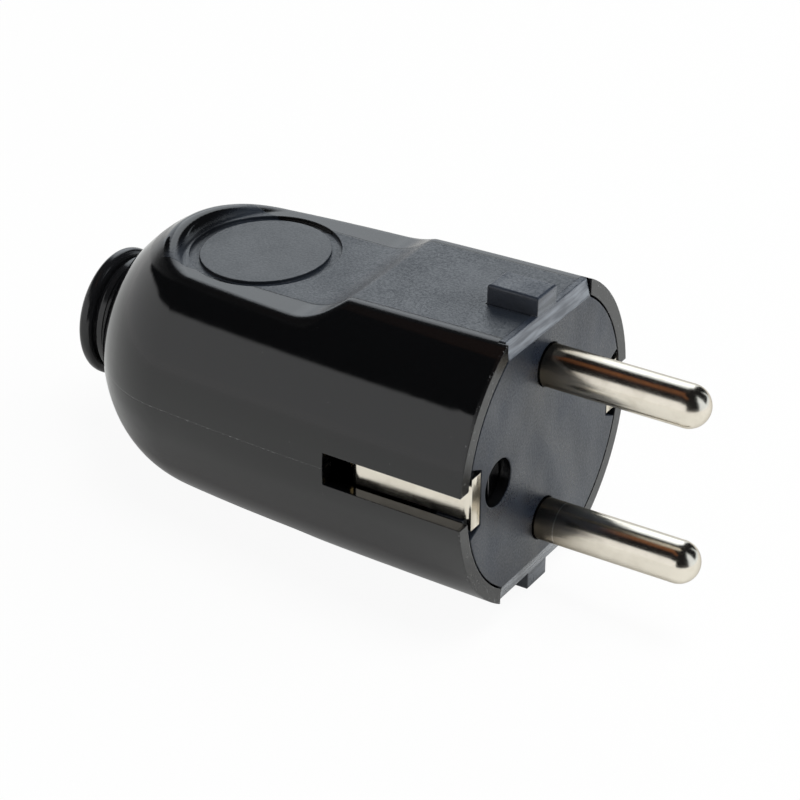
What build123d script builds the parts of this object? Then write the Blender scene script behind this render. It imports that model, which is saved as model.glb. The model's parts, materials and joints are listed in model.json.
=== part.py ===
"""Rewireable earthed mains plug with two round pins and side earth strips.

Every piece is drawn in the plug's own axes: X runs out along the pins, Z from pin to pin, and the
contact face lies at X = 0. At the end all pieces are turned together into the pose in which the plug
lies on a table, on its lower key and the back of its housing.
"""
from build123d import *
import math
import os

# Housing outline: a round body with a domed rear end
BODY_LENGTH = 54.0
FRONT_RADIUS = 18.2
FRONT_DRAFT = 1.0
SHOULDER_BACK = 40.0
SHOULDER_DROP = 1.55
SHOULDER_SLOPE = 5.0
TAIL_RADIUS = 6.9
TAIL_SLOPE = 52.0
DOME_LEAD = 7.5
DOME_TAIL = 5.0
WALL = 1.65
REAR_WALL = 2.8

# Flats above and below, each with a thumb recess that ends in a round scoop
FLAT_CLEARANCE = 0.4
RIDGE_DROP = 0.4
RIDGE_BACK = 19.7
RIDGE_ROUND = 1.5
RAMP_RUN = 3.3
FOOT_ROUND = 7.5
STEP_DEPTH = 2.25
SCOOP_APEX = 44.7
SCOOP_OVERHANG = 3.2
SCOOP_ROUND = 0.7
EDGE_ROUND = 1.5
LABEL_BACK = 36.0
LABEL_LONG = 7.1
LABEL_MARGIN = 2.35
LABEL_GROOVE = 1.15
LABEL_DEPTH = 0.4

# Pins, to the standard's size and spacing
PIN_RADIUS = 2.4
PIN_LENGTH = 19.0
PIN_HALF_SPACING = 9.5
PIN_STANDOFF = 0.2
PIN_ROOT_RADIUS = 2.2
COLLAR_RADIUS = 3.9
COLLAR_LENGTH = 2.0
BARREL_RADIUS = 3.3
BARREL_LENGTH = 10.5
WIRE_HOLE_RADIUS = 1.7
WIRE_HOLE_DEPTH = 7.5

# Contact carrier behind the face
PLATE_THICKNESS = 4.0
LIP_THICKNESS = 1.2
LIP_HALF_WIDTH = 8.7
LIP_BEVEL = 2.0
LIP_BEVEL_BACK = 0.5
PIN_BOSS_RADIUS = 4.3
PIN_BOSS_BACK = 7.0
SPINE_WIDTH = 3.0
SEAT_BACK = 13.0
KEY_WIDTH = 4.0
KEY_LENGTH = 6.6
KEY_INSET = 0.2
KEY_ROUND = 0.3

# Pin retainers and their screws
RETAINER_THICKNESS = 1.2
RETAINER_RADIUS = 4.1
RETAINER_EAR_RADIUS = 2.5
RETAINER_EAR_Y = 6.5
RETAINER_EAR_DROP = 1.5
RETAINER_SCREW_RADIUS = 1.2
RETAINER_SCREW_DEPTH = 5.0

# Earth strips, bridge and terminal
STRIP_THICKNESS = 0.8
STRIP_WIDTH = 3.4
STRIP_INSET = 2.1
STRIP_BEND = 0.8
STRIP_TAIL = 3.75
HEAD_WIDTH = 6.2
HEAD_LENGTH = 2.1
HEAD_SETBACK = 0.4
SLOT_BACK = 17.1
POCKET_WIDE = 9.0
BRIDGE_THICKNESS = 1.0
BRIDGE_WIDTH = 5.8
RIVET_RADIUS = 0.8
RIVET_HEAD_RADIUS = 1.2
RIVET_HEAD_HEIGHT = 0.7
EARTH_BLOCK_WIDTH = 8.0
EARTH_BLOCK_LENGTH = 7.0
EARTH_BLOCK_ROUND = 0.8
EARTH_WASHER_RADIUS = 2.8
EARTH_WASHER_THICKNESS = 0.8

# Screws: shank radius, head radius, head height
TERMINAL_SHANK = 1.5
TERMINAL_HEAD = 2.5
CASE_SHANK = 1.9
CASE_HEAD = 2.5
SCREW_HEAD_HEIGHT = 2.0
SLOT_WIDTH = 0.7
SLOT_DEPTH = 0.9

# Case screw between the carrier and the housing's boss
CASE_SCREW_INSET = 8.0
CASE_SEAT_BACK = 4.2
CASE_HOLE_RADIUS = 2.75
CASE_TUBE_RADIUS = 4.1
CASE_WASHER_THICKNESS = 0.8
BOSS_RADIUS = 3.9
BOSS_FRONT = 21.0
BOSS_LENGTH = 10.0
BOSS_WEB = 2.5
INSERT_RADIUS = 2.8
INSERT_LENGTH = 8.0

# Cord bed, clamp bar and grommet
CORD_RADIUS = 3.2
BED_THICKNESS = 2.0
BED_NECK_HALF = 3.5
BED_HALF_WIDTH = 9.5
BED_WIDE_FROM = 32.5
BED_BACK = 43.0
CLAMP_BACK = 37.5
CLAMP_LENGTH = 6.0
CLAMP_THICKNESS = 2.0
CLAMP_SCREW_Y = 6.8
CLAMP_POST_RADIUS = 2.6
CLAMP_POST_TOP = 1.0
GROMMET_NECK = 5.75
GROMMET_FLANGE = 7.4
GROMMET_FLANGE_THICKNESS = 1.5
GROMMET_COLLAR = 7.0
GROMMET_COLLAR_LENGTH = 1.0
GROMMET_LIP = 7.5
GROMMET_LIP_LENGTH = 1.7
GROMMET_GROOVE = 6.4
GROMMET_GROOVE_LENGTH = 0.4
GROMMET_BORE = 3.4

# Clearances
FIT_GAP = 0.05
PIN_GAP = 0.1
SLIDE_GAP = 0.25

# Search for the pose at rest
STEEPEST_REST = 15.0
REST_TOLERANCE = 0.002

# Derived places
FAR = 2 * FRONT_RADIUS
SHOULDER_RADIUS = FRONT_RADIUS - SHOULDER_DROP
FLAT_FRONT = PIN_HALF_SPACING + PIN_BOSS_RADIUS + FLAT_CLEARANCE + WALL
FLAT_RIDGE = FLAT_FRONT - RIDGE_DROP
FLOOR_HEIGHT = FLAT_RIDGE - STEP_DEPTH
FOOT_BACK = RIDGE_BACK + RAMP_RUN
FLOOR_HALF_WIDTH = math.sqrt(SHOULDER_RADIUS ** 2 - FLOOR_HEIGHT ** 2)
SCOOP_RADIUS = FLOOR_HALF_WIDTH + SCOOP_OVERHANG
SCOOP_BACK = SCOOP_APEX - SCOOP_RADIUS
LABEL_WIDE = FLOOR_HALF_WIDTH - LABEL_MARGIN
KEY_REACH = FRONT_RADIUS - KEY_INSET
CAVITY_RADIUS = FRONT_RADIUS - WALL
CARRIER_RADIUS = CAVITY_RADIUS - SLIDE_GAP
CARRIER_HALF_HEIGHT = FLAT_FRONT - WALL - SLIDE_GAP
COLLAR_BACK = PIN_BOSS_BACK + COLLAR_LENGTH
PIN_BACK = COLLAR_BACK + BARREL_LENGTH
RETAINER_BACK = COLLAR_BACK + RETAINER_THICKNESS
TERMINAL_BACK = (RETAINER_BACK + PIN_BACK) / 2
BRIDGE_BACK = SEAT_BACK + BRIDGE_THICKNESS
STRIP_OUTSIDE = FRONT_RADIUS - STRIP_INSET
STRIP_TAIL_IN = STRIP_OUTSIDE - STRIP_TAIL
HEAD_INSIDE = STRIP_OUTSIDE - HEAD_LENGTH
HEAD_OUTSIDE = STRIP_OUTSIDE - HEAD_SETBACK
STRIP_BEND_IN = STRIP_OUTSIDE - STRIP_THICKNESS / 2 - STRIP_BEND
BRIDGE_HALF_LENGTH = STRIP_BEND_IN - FIT_GAP
RIVET_Y = (BRIDGE_HALF_LENGTH + STRIP_TAIL_IN) / 2
BED_TOP = -CORD_RADIUS + FIT_GAP
EARTH_SCREW_Y = BED_NECK_HALF + SLIDE_GAP + EARTH_BLOCK_WIDTH / 2
CASE_SCREW_Y = CASE_SCREW_INSET - FRONT_RADIUS
CASE_HEAD_BACK = CASE_SEAT_BACK - CASE_WASHER_THICKNESS
CAVITY_BACK = BODY_LENGTH - REAR_WALL


def rod(front, back, radius, y=0.0, z=0.0):
    """Round bar along X between two places."""
    return Pos((front + back) / 2, y, z) * Rot(0, 90, 0) * Cylinder(radius, abs(front - back))


def block(x, y, z):
    """Box between the two ends given for each axis."""
    middle = [(low + high) / 2 for low, high in (x, y, z)]
    return Pos(*middle) * Box(*[abs(high - low) for low, high in (x, y, z)])


def both_sides(shape, plane):
    """A shape together with its mirror copy."""
    return shape + mirror(shape, about=plane)


def body_of_revolution(inset, length, tail_radius):
    """Round domed body; the inset gives the smaller copy that hollows it out."""
    front = Vector(0, FRONT_RADIUS - inset)
    shoulder = Vector(-SHOULDER_BACK, SHOULDER_RADIUS - inset)
    tail = Vector(-length, tail_radius)
    third = SHOULDER_BACK / 3
    lead = DOME_LEAD - inset
    front_turn = front + Vector(-third, -third * math.tan(math.radians(FRONT_DRAFT)))
    side_turn = shoulder + Vector(third, third * math.tan(math.radians(SHOULDER_SLOPE)))
    dome_turn = shoulder - Vector(lead, lead * math.tan(math.radians(SHOULDER_SLOPE)))
    tail_angle = math.radians(TAIL_SLOPE)
    tail_turn = tail + Vector(math.cos(tail_angle), math.sin(tail_angle)) * DOME_TAIL
    outline = [
        Bezier(front, front_turn, side_turn, shoulder),
        Bezier(shoulder, dome_turn, tail_turn, tail),
        Polyline(tail, (-length, 0), (0, 0), front),
    ]
    return revolve(make_face(outline), Axis.X)


def grip_cut(inset):
    """What the upper flat, thumb recess and scoop take off the round body."""
    draft = (FLAT_FRONT - FLAT_RIDGE) / RIDGE_BACK
    ridge = (-RIDGE_BACK, FLAT_RIDGE)
    foot = (-FOOT_BACK, FLOOR_HEIGHT)
    side = make_face(Polyline(
        (FAR, FLAT_FRONT + draft * FAR), ridge, foot,
        (-SCOOP_BACK, FLOOR_HEIGHT), (-SCOOP_BACK, FAR), (FAR, FAR), close=True,
    ))
    side = fillet(side.vertices().sort_by_distance(ridge)[0], RIDGE_ROUND)
    side = fillet(side.vertices().sort_by_distance(foot)[0], FOOT_ROUND)
    if inset:
        side = offset(side, inset, kind=Kind.INTERSECTION)
    scoop = Pos(-SCOOP_BACK, 0, FLOOR_HEIGHT - inset) * extrude(Circle(SCOOP_RADIUS + inset), FAR)
    scoop = fillet(scoop.faces().sort_by(Axis.Z)[0].edges(), SCOOP_ROUND + inset)
    scoop &= block((-BODY_LENGTH, -SCOOP_BACK), (-FAR, FAR), (0, FAR))
    return extrude(Plane.XZ * side, FAR, both=True) + scoop


def housing_shell():
    """Outer body with both grips, rounded along their edges and hollowed from the front."""
    outer = body_of_revolution(0, BODY_LENGTH, TAIL_RADIUS) - both_sides(grip_cut(0), Plane.XY)
    curved = outer.edges().filter_by(GeomType.BSPLINE)
    outer = fillet(curved.filter_by(lambda edge: abs(edge.center().Z) > TAIL_RADIUS), EDGE_ROUND)
    hollow = body_of_revolution(WALL, CAVITY_BACK, GROMMET_FLANGE + SLIDE_GAP)
    return outer - (hollow - both_sides(grip_cut(WALL), Plane.XY))


def label_groove():
    """Oval groove round the bare label field in the upper recess."""
    ring = Ellipse(LABEL_LONG + LABEL_GROOVE, LABEL_WIDE + LABEL_GROOVE) - Ellipse(LABEL_LONG, LABEL_WIDE)
    return Pos(-LABEL_BACK, 0, FLOOR_HEIGHT - LABEL_DEPTH) * extrude(ring, 2 * LABEL_DEPTH)


def make_housing():
    """Glossy rear cap with its openings and the boss for the case screw."""
    boss = rod(-BOSS_FRONT, -BOSS_FRONT - BOSS_LENGTH, BOSS_RADIUS, y=CASE_SCREW_Y)
    web = block(
        (-BOSS_FRONT - BOSS_LENGTH, -BOSS_FRONT),
        (-SHOULDER_RADIUS + WALL / 2, CASE_SCREW_Y),
        (-BOSS_WEB / 2, BOSS_WEB / 2),
    )
    socket = rod(-BOSS_FRONT, -BOSS_FRONT - INSERT_LENGTH, INSERT_RADIUS + FIT_GAP, y=CASE_SCREW_Y)
    slot_half = STRIP_WIDTH / 2 + SLIDE_GAP
    slots = block((-SLOT_BACK, FAR), (-FAR, FAR), (-slot_half, slot_half))
    slots -= block((-SLOT_BACK, FAR), (-HEAD_INSIDE, HEAD_INSIDE), (-slot_half, slot_half))
    key_half = KEY_WIDTH / 2 + SLIDE_GAP / 2
    key_notches = block((-KEY_LENGTH - SLIDE_GAP / 2, FAR), (-key_half, key_half), (-FAR, FAR))
    lip_half = LIP_HALF_WIDTH + SLIDE_GAP
    lip_seats = block((-LIP_THICKNESS, FAR), (-lip_half, lip_half), (-FAR, FAR))
    cable_hole = rod(0, -BODY_LENGTH, GROMMET_NECK + SLIDE_GAP / 2)
    shell = housing_shell() - label_groove()
    return shell + boss + web - socket - slots - key_notches - lip_seats - cable_hole


def turned_screw(shank_radius, head_radius, length):
    """Slotted screw along +Z: the shank runs down from the origin, the head stands on it."""
    head = Pos(0, 0, SCREW_HEAD_HEIGHT / 2) * Cylinder(head_radius, SCREW_HEAD_HEIGHT)
    slot = Pos(0, 0, SCREW_HEAD_HEIGHT - SLOT_DEPTH / 2) * Box(3 * head_radius, SLOT_WIDTH, SLOT_DEPTH)
    shank = Pos(0, 0, -length / 2) * Cylinder(shank_radius, length)
    return head - slot + shank


def make_pin(z):
    """Turned pin: round tip, thinner root in the carrier, collar and a barrel that takes the wire."""
    root = rod(-PIN_BOSS_BACK, PIN_STANDOFF, PIN_ROOT_RADIUS, z=z)
    shank = rod(PIN_STANDOFF, PIN_LENGTH - PIN_RADIUS, PIN_RADIUS, z=z)
    tip = Pos(PIN_LENGTH - PIN_RADIUS, 0, z) * Sphere(PIN_RADIUS)
    collar = rod(-PIN_BOSS_BACK, -COLLAR_BACK, COLLAR_RADIUS, z=z)
    barrel = rod(-COLLAR_BACK, -PIN_BACK, BARREL_RADIUS, z=z)
    wire_hole = rod(-PIN_BACK + WIRE_HOLE_DEPTH, -PIN_BACK, WIRE_HOLE_RADIUS, z=z)
    screw_hole = Pos(-TERMINAL_BACK, FAR / 2, z) * Rot(90, 0, 0) * Cylinder(TERMINAL_SHANK + FIT_GAP, FAR)
    return root + shank + tip + collar + barrel - wire_hole - screw_hole


def make_terminal_screws():
    """The two screws that clamp the wires in the pins' barrels."""
    screw = Rot(-90, 0, 0) * turned_screw(TERMINAL_SHANK, TERMINAL_HEAD, BARREL_RADIUS - WIRE_HOLE_RADIUS / 2)
    return [Pos(-TERMINAL_BACK, BARREL_RADIUS, z) * screw for z in (PIN_HALF_SPACING, -PIN_HALF_SPACING)]


def ear_place(z_side):
    """Middle of a retainer's screw ear; the two ears lie on opposite sides."""
    return RETAINER_EAR_Y * z_side, (PIN_HALF_SPACING - RETAINER_EAR_DROP) * z_side


def make_retainer(z_side):
    """Plate behind a pin's collar, with an ear for its screw."""
    y, z = ear_place(z_side)
    centre = PIN_HALF_SPACING * z_side
    plate = rod(-COLLAR_BACK, -RETAINER_BACK, RETAINER_RADIUS, z=centre)
    ear = rod(-COLLAR_BACK, -RETAINER_BACK, RETAINER_EAR_RADIUS, y=y, z=z)
    height = (z - RETAINER_EAR_RADIUS, z + RETAINER_EAR_RADIUS)
    arm = block((-RETAINER_BACK, -COLLAR_BACK), sorted((0, y)), height)
    barrel_hole = rod(0, -FAR, BARREL_RADIUS + SLIDE_GAP / 2, z=centre)
    screw_hole = rod(0, -FAR, RETAINER_SCREW_RADIUS + FIT_GAP, y=y, z=z)
    return plate + ear + arm - barrel_hole - screw_hole


def make_retainer_screws():
    """Screws that hold the pin retainers on the carrier."""
    screw = Rot(0, -90, 0) * turned_screw(
        RETAINER_SCREW_RADIUS, RETAINER_EAR_RADIUS - SLIDE_GAP, RETAINER_THICKNESS + RETAINER_SCREW_DEPTH)
    return [Pos(-RETAINER_BACK, *ear_place(side)) * screw for side in (1, -1)]


def carrier_front():
    """Face plate with its lips, keys and pockets for the strips' heads."""
    plate = rod(0, -PLATE_THICKNESS, CARRIER_RADIUS)
    plate &= block((-PLATE_THICKNESS, 0), (-FAR, FAR), (-CARRIER_HALF_HEIGHT, CARRIER_HALF_HEIGHT))
    lip = make_face(Polyline(
        (-LIP_THICKNESS, 0), (-LIP_THICKNESS, FLAT_FRONT), (-LIP_BEVEL_BACK, FLAT_FRONT),
        (0, FLAT_FRONT - LIP_BEVEL), (0, 0), close=True,
    ))
    lip = both_sides(extrude(Plane.XZ * lip, LIP_HALF_WIDTH, both=True), Plane.XY)
    key = block((-KEY_LENGTH, -LIP_BEVEL_BACK), (-KEY_WIDTH / 2, KEY_WIDTH / 2), (PIN_HALF_SPACING, KEY_REACH))
    key = fillet(key.faces().sort_by(Axis.Z)[-1].edges(), KEY_ROUND)
    pocket = make_face(Polyline(
        (-HEAD_INSIDE + SLIDE_GAP, HEAD_WIDTH / 2 + SLIDE_GAP), (-CARRIER_RADIUS, POCKET_WIDE / 2),
        (-CARRIER_RADIUS - SLIDE_GAP, POCKET_WIDE / 2), (-CARRIER_RADIUS - SLIDE_GAP, -POCKET_WIDE / 2),
        (-CARRIER_RADIUS, -POCKET_WIDE / 2),
        (-HEAD_INSIDE + SLIDE_GAP, -HEAD_WIDTH / 2 - SLIDE_GAP), close=True,
    ))
    pocket = extrude(Plane.YZ * pocket, -STRIP_THICKNESS)
    channel_half = STRIP_WIDTH / 2 + SLIDE_GAP
    channel = block((-PLATE_THICKNESS, 0), (-FAR, SLIDE_GAP - STRIP_BEND_IN), (-channel_half, channel_half))
    return plate + lip + both_sides(key, Plane.XY) - both_sides(pocket + channel, Plane.XZ)


def cord_bed():
    """Tongue behind the face that the cord lies on, with posts for the clamp bar."""
    height = (BED_TOP - BED_THICKNESS, BED_TOP)
    neck = block((-BED_BACK, -PLATE_THICKNESS), (-BED_NECK_HALF, BED_NECK_HALF), height)
    bed = block((-BED_BACK, -BED_WIDE_FROM), (-BED_HALF_WIDTH, BED_HALF_WIDTH), height)
    post_height = CLAMP_POST_TOP - height[0]
    middle = Pos(-CLAMP_BACK, CLAMP_SCREW_Y, height[0] + post_height / 2)
    post = middle * Cylinder(CLAMP_POST_RADIUS, post_height)
    hole = Pos(-CLAMP_BACK, CLAMP_SCREW_Y, 0) * Cylinder(TERMINAL_SHANK + FIT_GAP, FAR)
    return neck + bed + both_sides(post, Plane.XZ) - both_sides(hole, Plane.XZ)


def make_carrier():
    """Matte front insert that holds the contacts and the cord."""
    carrier = carrier_front() + cord_bed()
    for side in (1, -1):
        y, z = ear_place(side)
        carrier += rod(-PLATE_THICKNESS, -PIN_BOSS_BACK, PIN_BOSS_RADIUS, z=PIN_HALF_SPACING * side)
        carrier += rod(-PLATE_THICKNESS, -COLLAR_BACK, RETAINER_EAR_RADIUS, y=y, z=z)
    spine_half = PIN_HALF_SPACING - COLLAR_RADIUS - SLIDE_GAP
    carrier += block((-SEAT_BACK, -PLATE_THICKNESS), (-SPINE_WIDTH / 2, SPINE_WIDTH / 2), (BED_TOP, spine_half))
    carrier += rod(-PLATE_THICKNESS, -SEAT_BACK, CASE_TUBE_RADIUS, y=CASE_SCREW_Y)
    carrier -= rod(0, -CASE_SEAT_BACK, CASE_HOLE_RADIUS, y=CASE_SCREW_Y)
    carrier -= rod(0, -SEAT_BACK, CASE_SHANK + SLIDE_GAP, y=CASE_SCREW_Y)
    for side in (1, -1):
        y, z = ear_place(side)
        carrier -= rod(0, -COLLAR_BACK, PIN_RADIUS + PIN_GAP, z=PIN_HALF_SPACING * side)
        depth = RETAINER_SCREW_DEPTH - COLLAR_BACK
        carrier -= rod(depth, -COLLAR_BACK, RETAINER_SCREW_RADIUS + FIT_GAP, y=y, z=z)
    return carrier


def make_near_strip():
    """Spring strip in the near slot, with its T head at the face and its tail on the bridge."""
    middle = STRIP_OUTSIDE - STRIP_THICKNESS / 2
    front = -STRIP_THICKNESS / 2
    back = -BRIDGE_BACK - STRIP_THICKNESS / 2
    path = FilletPolyline(
        (front, -HEAD_INSIDE), (front, -middle), (back, -middle), (back, -STRIP_TAIL_IN), radius=STRIP_BEND)
    strip = extrude(trace(path, STRIP_THICKNESS), STRIP_WIDTH / 2, both=True)
    head = block(
        (-STRIP_THICKNESS, 0), (-HEAD_OUTSIDE, -HEAD_INSIDE), (-HEAD_WIDTH / 2, HEAD_WIDTH / 2))
    return strip + head - rod(-SEAT_BACK, -FAR, RIVET_RADIUS + FIT_GAP, y=-RIVET_Y)


def make_bridge():
    """Cross strap on the carrier's seat that joins both strips and takes the earth screw."""
    strap = block(
        (-BRIDGE_BACK, -SEAT_BACK),
        (-BRIDGE_HALF_LENGTH, BRIDGE_HALF_LENGTH), (-BRIDGE_WIDTH / 2, BRIDGE_WIDTH / 2))
    strap = fillet(strap.edges().filter_by(Axis.X), BRIDGE_WIDTH / 4)
    rivet_hole = rod(0, -FAR, RIVET_RADIUS + FIT_GAP, y=-RIVET_Y)
    case_hole = rod(0, -FAR, CASE_SHANK + SLIDE_GAP, y=CASE_SCREW_Y)
    screw_hole = rod(0, -FAR, TERMINAL_SHANK + FIT_GAP, y=EARTH_SCREW_Y)
    return strap - both_sides(rivet_hole, Plane.XZ) - case_hole - screw_hole


def make_rivets():
    """Rivets through the strips' tails, flush with the front of the bridge."""
    tail_back = BRIDGE_BACK + STRIP_THICKNESS
    head = rod(-tail_back, -tail_back - RIVET_HEAD_HEIGHT, RIVET_HEAD_RADIUS)
    rivet = rod(-SEAT_BACK, -tail_back, RIVET_RADIUS) + head
    return [Pos(0, y, 0) * rivet for y in (-RIVET_Y, RIVET_Y)]


def make_earth_washer():
    """Washer that presses the earth wire on the bridge."""
    back = BRIDGE_BACK + EARTH_WASHER_THICKNESS
    ring = rod(-BRIDGE_BACK, -back, EARTH_WASHER_RADIUS, y=EARTH_SCREW_Y)
    return ring - rod(0, -FAR, TERMINAL_SHANK + FIT_GAP, y=EARTH_SCREW_Y)


def make_earth_block():
    """Threaded block in front of the bridge that the earth screw bites into."""
    half = EARTH_BLOCK_WIDTH / 2
    body = block(
        (-SEAT_BACK, -SEAT_BACK + EARTH_BLOCK_LENGTH),
        (EARTH_SCREW_Y - half, EARTH_SCREW_Y + half), (-half, half))
    body = fillet(body.edges().filter_by(Axis.X), EARTH_BLOCK_ROUND)
    return body - rod(0, -FAR, TERMINAL_SHANK + FIT_GAP, y=EARTH_SCREW_Y)


def make_earth_screw():
    """Screw of the earth terminal, driven from behind through the bridge into its block."""
    length = EARTH_WASHER_THICKNESS + BRIDGE_THICKNESS + EARTH_BLOCK_LENGTH - SLIDE_GAP
    place = Pos(-BRIDGE_BACK - EARTH_WASHER_THICKNESS, EARTH_SCREW_Y, 0) * Rot(0, -90, 0)
    return place * turned_screw(TERMINAL_SHANK, TERMINAL_HEAD, length)


def make_case_screw():
    """Long screw from the face into the housing's boss."""
    length = BOSS_FRONT + INSERT_LENGTH - CASE_HEAD_BACK - SLIDE_GAP
    place = Pos(-CASE_HEAD_BACK, CASE_SCREW_Y, 0) * Rot(0, 90, 0)
    return place * turned_screw(CASE_SHANK, CASE_HEAD, length)


def make_case_washer():
    """Washer between the case screw's head and its seat."""
    ring = rod(-CASE_HEAD_BACK, -CASE_SEAT_BACK, CASE_HEAD, y=CASE_SCREW_Y)
    return ring - rod(0, -FAR, CASE_SHANK + FIT_GAP, y=CASE_SCREW_Y)


def make_case_insert():
    """Threaded insert in the housing's boss."""
    sleeve = rod(-BOSS_FRONT, -BOSS_FRONT - INSERT_LENGTH, INSERT_RADIUS, y=CASE_SCREW_Y)
    return sleeve - rod(0, -FAR, CASE_SHANK + FIT_GAP, y=CASE_SCREW_Y)


def make_clamp_bar():
    """Saddle that holds the cord down on its bed."""
    x = (-CLAMP_BACK - CLAMP_LENGTH / 2, -CLAMP_BACK + CLAMP_LENGTH / 2)
    ears = block(x, (-BED_HALF_WIDTH, BED_HALF_WIDTH), (CLAMP_POST_TOP, CLAMP_POST_TOP + CLAMP_THICKNESS))
    arch = rod(*x, CORD_RADIUS + CLAMP_THICKNESS)
    arch &= block(x, (-FAR, FAR), (CLAMP_POST_TOP, FAR))
    hole = Pos(-CLAMP_BACK, CLAMP_SCREW_Y, 0) * Cylinder(TERMINAL_SHANK + FIT_GAP, FAR)
    return ears + arch - rod(*x, CORD_RADIUS) - both_sides(hole, Plane.XZ)


def make_clamp_screws():
    """Screws that pull the clamp bar onto its posts."""
    top = CLAMP_POST_TOP + CLAMP_THICKNESS
    screw = turned_screw(TERMINAL_SHANK, TERMINAL_HEAD, top - BED_TOP + BED_THICKNESS)
    return [Pos(-CLAMP_BACK, y, top) * screw for y in (-CLAMP_SCREW_Y, CLAMP_SCREW_Y)]


def make_grommet():
    """Soft bush in the rear hole: inner flange, neck, collar and round lip."""
    collar_back = BODY_LENGTH + GROMMET_COLLAR_LENGTH
    groove_back = collar_back + GROMMET_GROOVE_LENGTH
    lip_back = groove_back + GROMMET_LIP_LENGTH
    flange = rod(-CAVITY_BACK + GROMMET_FLANGE_THICKNESS, -CAVITY_BACK, GROMMET_FLANGE)
    neck = rod(-CAVITY_BACK, -BODY_LENGTH, GROMMET_NECK)
    collar = rod(-BODY_LENGTH, -collar_back, GROMMET_COLLAR)
    collar = fillet(collar.edges().filter_by(GeomType.CIRCLE).sort_by(Axis.X)[0], GROMMET_COLLAR_LENGTH * 0.45)
    groove = rod(-collar_back, -groove_back, GROMMET_GROOVE)
    lip = rod(-groove_back, -lip_back, GROMMET_LIP)
    lip = fillet(lip.edges().filter_by(GeomType.CIRCLE), GROMMET_LIP_LENGTH * 0.45)
    return flange + neck + collar + groove + lip - rod(0, -FAR - BODY_LENGTH, GROMMET_BORE)


def surface_points(shapes):
    """Points spread over the surfaces of some shapes."""
    return [point for shape in shapes for point in shape.tessellate(REST_TOLERANCE)[0]]


def lowest(points, tilt):
    """Lowest height of some points once the plug's tail is let down by the tilt."""
    turn = math.radians(tilt)
    return min(point.X * math.sin(turn) + point.Z * math.cos(turn) for point in points)


def rest_tilt(carrier, housing):
    """Angle at which the lower key and the back of the housing touch the table together."""
    key_points = surface_points([carrier])
    back_points = surface_points([housing])
    low, high = 0.0, STEEPEST_REST
    while high - low > REST_TOLERANCE:
        middle = (low + high) / 2
        if lowest(key_points, middle) < lowest(back_points, middle):
            low = middle
        else:
            high = middle
    return low


def make_pieces():
    """Every piece of the plug in its own axes, by name."""
    near_strip = make_near_strip()
    return {
        "housing": make_housing(),
        "contact_carrier": make_carrier(),
        "upper_pin": make_pin(PIN_HALF_SPACING),
        "lower_pin": make_pin(-PIN_HALF_SPACING),
        "pin_terminal_screws": Compound(make_terminal_screws()),
        "upper_pin_retainer": make_retainer(1),
        "lower_pin_retainer": make_retainer(-1),
        "retainer_screws": Compound(make_retainer_screws()),
        "near_earth_strip": near_strip,
        "far_earth_strip": mirror(near_strip, about=Plane.XZ),
        "earth_bridge": make_bridge(),
        "earth_rivets": Compound(make_rivets()),
        "earth_terminal_block": make_earth_block(),
        "earth_clamp_washer": make_earth_washer(),
        "earth_terminal_screw": make_earth_screw(),
        "case_screw": make_case_screw(),
        "case_washer": make_case_washer(),
        "case_insert": make_case_insert(),
        "cord_clamp_bar": make_clamp_bar(),
        "cord_clamp_screws": Compound(make_clamp_screws()),
        "cable_grommet": make_grommet(),
    }


def rest_place(pieces):
    """Turn and shift that lay the plug on the table, with the origin under its middle."""
    turn = Rot(0, -rest_tilt(pieces["contact_carrier"], pieces["housing"]), 0)
    points = surface_points([turn * piece for piece in pieces.values()])
    lengthwise = [point.X for point in points]
    sideways = [point.Y for point in points]
    middle_x = (min(lengthwise) + max(lengthwise)) / 2
    middle_y = (min(sideways) + max(sideways)) / 2
    return Pos(-middle_x, -middle_y, -min(point.Z for point in points)) * turn


def main():
    """Lay the pieces out at rest and write one file for each."""
    os.makedirs("parts", exist_ok=True)
    pieces = make_pieces()
    place = rest_place(pieces)
    for name, piece in pieces.items():
        export_step(place * piece, f"parts/{name}.step")


main()
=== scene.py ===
"""Looks of an earthed mains plug: finishes, fine surface detail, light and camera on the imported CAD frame."""
import json
import logging
import math
from dataclasses import dataclass
from enum import Enum
from typing import NamedTuple

import bpy
from mathutils import Matrix, Vector

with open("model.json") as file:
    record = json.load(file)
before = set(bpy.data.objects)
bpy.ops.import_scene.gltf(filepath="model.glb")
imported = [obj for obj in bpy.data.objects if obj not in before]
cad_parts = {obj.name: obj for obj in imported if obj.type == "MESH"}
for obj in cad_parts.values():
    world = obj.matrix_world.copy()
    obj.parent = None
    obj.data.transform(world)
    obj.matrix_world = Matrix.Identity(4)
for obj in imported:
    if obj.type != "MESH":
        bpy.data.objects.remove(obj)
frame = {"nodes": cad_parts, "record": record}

LOG = logging.getLogger("mains_plug")
MM = 0.001
HALF_TURN = 180.0
FULL_TURN = 360.0
ZENITH = 90.0
WHITE = (1.0, 1.0, 1.0)
# The part of a noise's range that counts, and how far roughness drifts with it.
CLOUD_SPAN = (0.3, 0.7)
CLOUD_SPREAD = 0.04
# Shares of a glossy finish's roughness at its smoothest and its dullest.
SHEEN_SPREAD = (0.8, 1.3)
# Indexes of the mix node's value inputs, of its colour inputs and of its colour output.
MIX_VALUES = (2, 3)
MIX_COLOURS = (6, 7)
MIXED_COLOUR = 2
Span = tuple[float, float]
Triple = tuple[float, float, float]
Colour = Triple
Socket = bpy.types.NodeSocket
Sockets = bpy.types.bpy_prop_collection


class Slot(Enum):
    """Material slots of the record."""

    SHELL = "gloss_black"
    CARRIER = "matte_carrier"
    PLATED = "plated_brass"
    BRASS = "bare_brass"
    ZINC = "zinc_steel"
    DARK_STEEL = "dark_steel"
    INNER = "inner_plastic"
    RUBBER = "gloss_rubber"


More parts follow.
